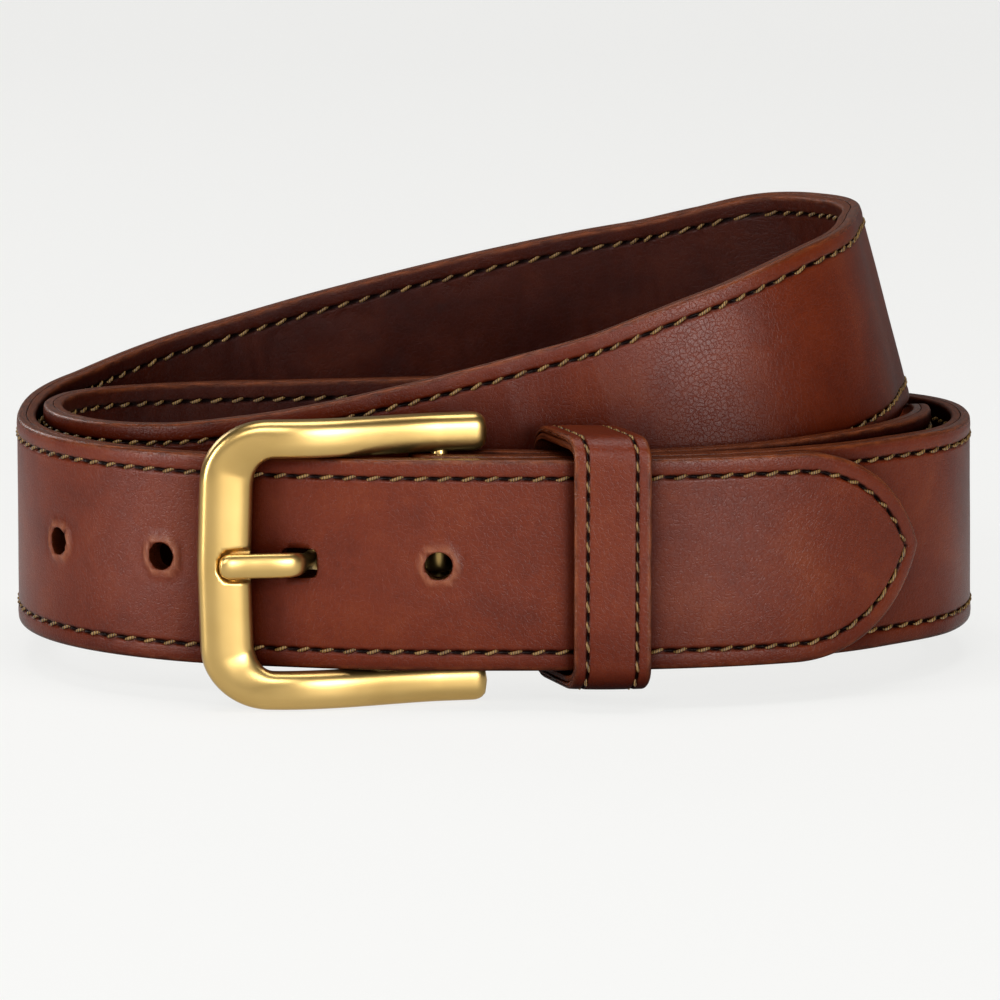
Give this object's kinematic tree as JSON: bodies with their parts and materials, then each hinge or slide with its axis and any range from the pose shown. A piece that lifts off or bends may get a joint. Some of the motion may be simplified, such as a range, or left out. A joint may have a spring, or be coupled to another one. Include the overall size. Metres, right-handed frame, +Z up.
{
  "type": "leather belt",
  "caption": "Two-ply leather dress belt coiled in two turns, its pointed tip passed through a sliding keeper loop and held by a brass frame buckle with a hinged prong.",
  "frame": {"origin": "middle of the whole belt's box in plan, at the level of its lowest point, which is the buckle's lower arm", "axes": "+X along the front of the coil from the buckle towards the tip, +Y into the coil away from the buckle, +Z up across the strap's width"},
  "size_m": [0.1781, 0.1387, 0.0813],
  "materials": {
    "leather": "smooth polished reddish-brown hide with a fine pore and darker, burnished edges",
    "lining": "darker wrinkled lining hide",
    "thread": "waxed golden-olive thread",
    "brass": "satin solid brass",
    "steel": "plain wire staple"
  },
  "bodies": {
    "strap": {"strap_outer": "leather", "strap_lining": "lining", "upper_stitching_front": "thread", "lower_stitching_front": "thread", "upper_stitching_back": "thread", "lower_stitching_back": "thread", "fold_stitching": "thread"},
    "buckle": {"buckle_frame": "brass", "hinge_bar": "brass"},
    "prong": {"prong": "brass"},
    "keeper": {"keeper_outer": "leather", "keeper_lining": "lining", "keeper_stitching_left": "thread", "keeper_stitching_right": "thread", "keeper_staple": "steel"}
  },
  "joints": [
    {"name": "frame_pivot", "type": "hinge", "parent": "strap", "child": "buckle", "pos_m": [-0.01002, -0.05597, 0.02575], "axis": [0, 0, 1], "range_deg": [0, 1.5]},
    {"name": "prong_pivot", "type": "hinge", "parent": "buckle", "child": "prong", "pos_m": [-0.01002, -0.05597, 0.02575], "axis": [0, 0, 1], "range_deg": [0, 1.5]},
    {"name": "keeper_slide", "type": "slide", "parent": "strap", "child": "keeper", "axis": [1, 0, 0], "range_m": [-0.0045, 0.003]}
  ]
}
